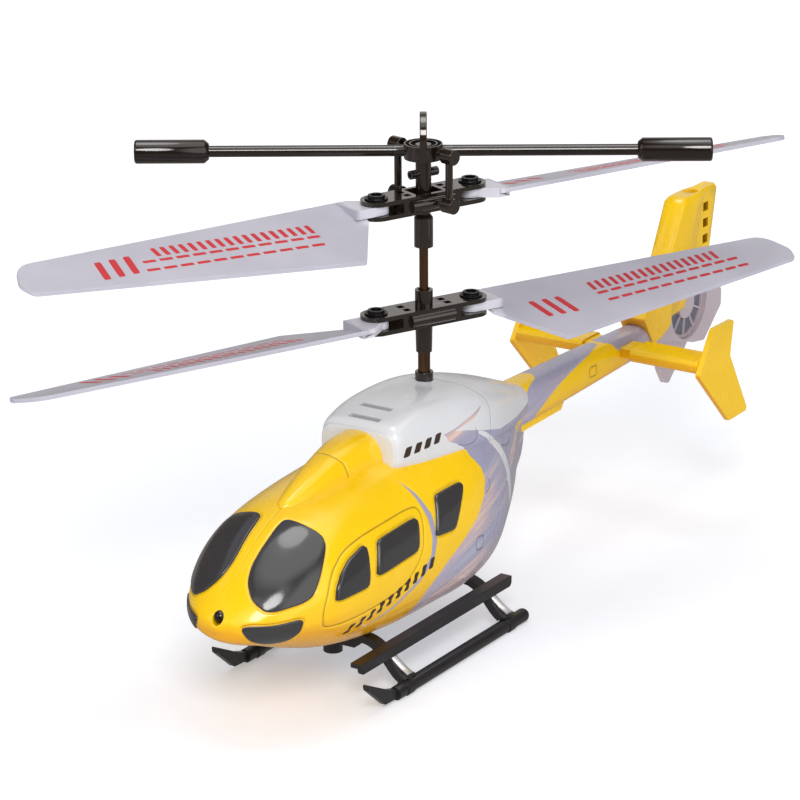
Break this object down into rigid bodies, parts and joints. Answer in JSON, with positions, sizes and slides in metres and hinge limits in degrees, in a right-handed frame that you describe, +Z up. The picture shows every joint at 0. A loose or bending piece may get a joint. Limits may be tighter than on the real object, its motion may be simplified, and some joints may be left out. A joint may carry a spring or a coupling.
{
  "type": "toy helicopter",
  "caption": "Palm-size coaxial toy helicopter with geared counter-rotating rotors, flybar, glazed cabin shell, tail boom with dummy fan and skid landing gear.",
  "frame": {"origin": "middle of the overall bounding box at the ground plane the skids stand on; the rotor mast is 20.07 mm nearer the nose", "axes": "+Z up, -Y towards the nose, +X towards the port side"},
  "size_m": [0.1034, 0.219, 0.1128],
  "materials": {
    "yellow_shell": "bright yellow moulded plastic, glossy",
    "white_cowl": "light grey-white moulded plastic, glossy",
    "dark_glazing": "opaque charcoal plastic, satin gloss",
    "duct_grey": "grey-mauve plastic, satin",
    "skid_black": "black moulded plastic, semi-gloss",
    "head_black": "black nylon, glossy",
    "flybar_black": "black lacquered steel",
    "shaft_steel": "black-nickel plated steel",
    "screw_steel": "black zinc plated steel",
    "blade_grey": "pale lavender-grey flexible plastic",
    "gear_white": "white nylon",
    "bush_brass": "turned brass",
    "motor_can": "drawn steel can",
    "battery_wrap": "grey laminate pouch",
    "board_green": "green solder mask",
    "lamp_clear": "smoked clear plastic"
  },
  "bodies": {
    "airframe": {"battery": "battery_wrap", "charge_socket": "head_black", "circuit_board": "board_green", "end_plate_left": "yellow_shell", "end_plate_right": "yellow_shell", "engine_cowl": "white_cowl", "fan_duct": "duct_grey", "front_glazing_left": "dark_glazing", "front_glazing_right": "dark_glazing", "front_motor": "motor_can", "fuselage_shell_left": "yellow_shell", "fuselage_shell_right": "yellow_shell", "horizontal_stabilizer": "yellow_shell", "inner_shaft_bearing": "bush_brass", "main_frame": "head_black", "mast_bearing_cap": "head_black", "nose_lamp": "lamp_clear", "outer_shaft_bearings": "bush_brass", "power_switch_body": "head_black", "rear_motor": "motor_can", "roof_hump": "yellow_shell", "shell_screws": "screw_steel", "side_glazing_left": "dark_glazing", "side_glazing_right": "dark_glazing", "skid_runner_left": "skid_black", "skid_runner_right": "skid_black", "skid_screws": "screw_steel", "skid_strut_front": "skid_black", "skid_strut_rear": "skid_black", "step_rail_left": "skid_black", "step_rail_right": "skid_black", "tail_boom": "yellow_shell", "tail_fan": "duct_grey", "vertical_fin": "yellow_shell"},
    "inner_rotor": {"inner_shaft": "shaft_steel", "inner_drive_gear": "gear_white", "shaft_collar": "head_black", "rotor_head": "head_black", "grip_pivot_pins": "shaft_steel", "head_clamp_screws": "screw_steel", "head_loop": "head_black"},
    "upper_grip": {"upper_blade_grip": "head_black", "upper_blade_screws": "screw_steel"},
    "upper_blade_a": {"upper_blade_a": "blade_grey"},
    "upper_blade_b": {"upper_blade_b": "blade_grey"},
    "flybar": {"flybar_ring": "head_black", "flybar_rods": "flybar_black", "flybar_weights": "flybar_black"},
    "link_a": {"link_a": "head_black"},
    "link_b": {"link_b": "head_black"},
    "outer_rotor": {"outer_shaft": "shaft_steel", "outer_drive_gear": "gear_white", "lower_rotor_hub": "head_black", "lower_blade_screws": "screw_steel"},
    "lower_blade_a": {"lower_blade_a": "blade_grey"},
    "lower_blade_b": {"lower_blade_b": "blade_grey"},
    "front_pinion": {"front_pinion": "gear_white"},
    "rear_pinion": {"rear_pinion": "gear_white"},
    "power_knob": {"power_switch_knob": "head_black"}
  },
  "joints": [
    {"name": "inner_rotor_spin", "type": "hinge", "parent": "airframe", "child": "inner_rotor", "pos_m": [0, -0.02007, 0.0491], "axis": [0, 0, 1], "continuous": true},
    {"name": "outer_rotor_spin", "type": "hinge", "parent": "airframe", "child": "outer_rotor", "pos_m": [0, -0.02007, 0.0491], "axis": [0, 0, 1], "continuous": true},
    {"name": "front_pinion_spin", "type": "hinge", "parent": "airframe", "child": "front_pinion", "pos_m": [0, -0.03213, 0.0191], "axis": [0, 0, 1], "continuous": true},
    {"name": "rear_pinion_spin", "type": "hinge", "parent": "airframe", "child": "rear_pinion", "pos_m": [0, -0.00802, 0.0241], "axis": [0, 0, 1], "continuous": true},
    {"name": "flybar_tilt", "type": "hinge", "parent": "inner_rotor", "child": "flybar", "pos_m": [0, -0.02007, 0.1046], "axis": [-0.5402, 0.8415, 0], "range_deg": [-15, 15]},
    {"name": "grip_feather", "type": "hinge", "parent": "inner_rotor", "child": "upper_grip", "pos_m": [0, -0.02007, 0.0941], "axis": [0.3875, 0.9219, 0], "range_deg": [-12, 12]},
    {"name": "link_a_pivot", "type": "hinge", "parent": "flybar", "child": "link_a", "pos_m": [0.00717, -0.02143, 0.1046], "axis": [-0.5402, 0.8415, 0], "range_deg": [-16, 16]},
    {"name": "link_b_pivot", "type": "hinge", "parent": "flybar", "child": "link_b", "pos_m": [-0.00717, -0.01872, 0.1046], "axis": [-0.5402, 0.8415, 0], "range_deg": [-16, 16]},
    {"name": "upper_blade_a_lag", "type": "hinge", "parent": "upper_grip", "child": "upper_blade_a", "pos_m": [0.00459, -0.00915, 0.0941], "axis": [0, 0, 1], "range_deg": [-25, 25]},
    {"name": "upper_blade_b_lag", "type": "hinge", "parent": "upper_grip", "child": "upper_blade_b", "pos_m": [-0.00459, -0.031, 0.0941], "axis": [0, 0, 1], "range_deg": [-25, 25]},
    {"name": "lower_blade_a_lag", "type": "hinge", "parent": "outer_rotor", "child": "lower_blade_a", "pos_m": [0.00499, -0.00933, 0.0691], "axis": [0, 0, 1], "range_deg": [-25, 25]},
    {"name": "lower_blade_b_lag", "type": "hinge", "parent": "outer_rotor", "child": "lower_blade_b", "pos_m": [-0.00499, -0.03082, 0.0691], "axis": [0, 0, 1], "range_deg": [-25, 25]},
    {"name": "power_switch_slide", "type": "slide", "parent": "airframe", "child": "power_knob", "axis": [0, 1, 0], "range_m": [0, 0.002]}
  ],
  "couplings": [
    {"joint": "front_pinion_spin", "follows": "inner_rotor_spin", "ratio": -7},
    {"joint": "rear_pinion_spin", "follows": "outer_rotor_spin", "ratio": -7},
    {"joint": "grip_feather", "follows": "flybar_tilt", "ratio": 0.7431},
    {"joint": "link_a_pivot", "follows": "flybar_tilt", "ratio": -1},
    {"joint": "link_b_pivot", "follows": "flybar_tilt", "ratio": -1}
  ]
}
